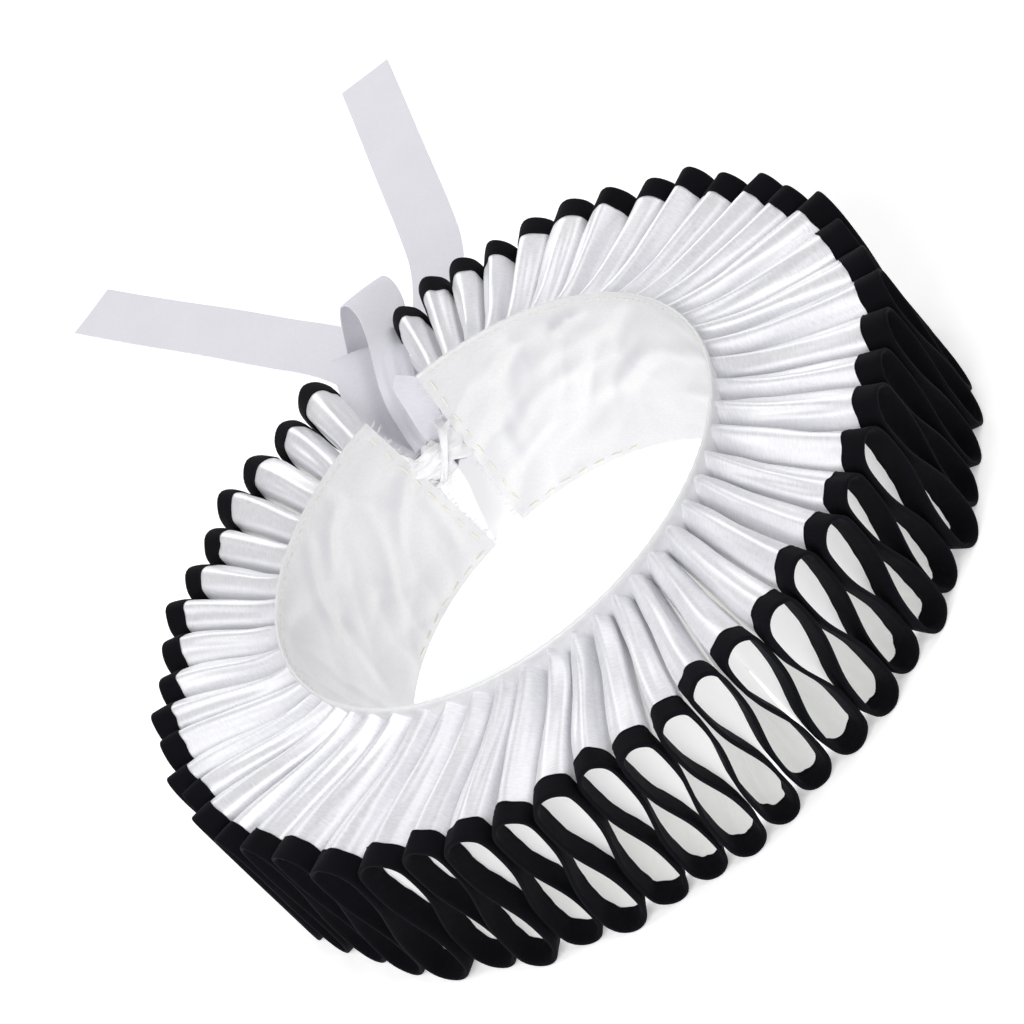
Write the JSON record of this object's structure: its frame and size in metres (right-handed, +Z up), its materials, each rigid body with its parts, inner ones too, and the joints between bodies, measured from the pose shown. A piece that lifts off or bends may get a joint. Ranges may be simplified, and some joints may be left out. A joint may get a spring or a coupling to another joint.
{
  "type": "ruffled collar",
  "caption": "Figure-eight ruff of white satin with a black bound edge, on a plain neckband that ties in a ribbon bow at the back.",
  "frame": {"origin": "on the plane the ruff stands on, under the middle of the whole box; the ring's own axis is 143.4 mm towards -Y, because the tails lengthen the box towards +Y", "axes": "+Z up along the ring's axis, +Y towards the opening and the tied tails, +X to the right seen from the front of the ruff"},
  "size_m": [0.2992, 0.586, 0.0711],
  "materials": {
    "satin": "white polyester satin, smooth sheen",
    "binding": "matt black cotton binding",
    "neckband": "white cotton sateen with cream topstitching",
    "ribbon": "fine woven ribbon, matt"
  },
  "bodies": {
    "root": {"Neckband": "neckband", "Ruff_Length_01": "satin", "Ruff_Length_02": "satin", "Ruff_Length_03": "satin", "Ruff_Length_04": "satin", "Ruff_Length_05": "satin", "Ruff_Length_06": "satin", "Ruff_Length_07": "satin", "Ruff_Length_08": "satin", "Ruff_Length_09": "satin", "Ruff_Length_10": "satin", "Ruff_Length_11": "satin", "Ruff_Length_12": "satin", "Binding_Length_01": "binding", "Binding_Length_02": "binding", "Binding_Length_03": "binding", "Binding_Length_04": "binding", "Binding_Length_05": "binding", "Binding_Length_06": "binding", "Binding_Length_07": "binding", "Binding_Length_08": "binding", "Binding_Length_09": "binding", "Binding_Length_10": "binding", "Binding_Length_11": "binding", "Binding_Length_12": "binding", "Tie_Knot": "ribbon", "Bow_Loop_Left": "ribbon", "Bow_Loop_Right": "ribbon", "Tie_Tail_Left": "ribbon", "Tie_Tail_Right": "ribbon"}
  },
  "joints": []
}
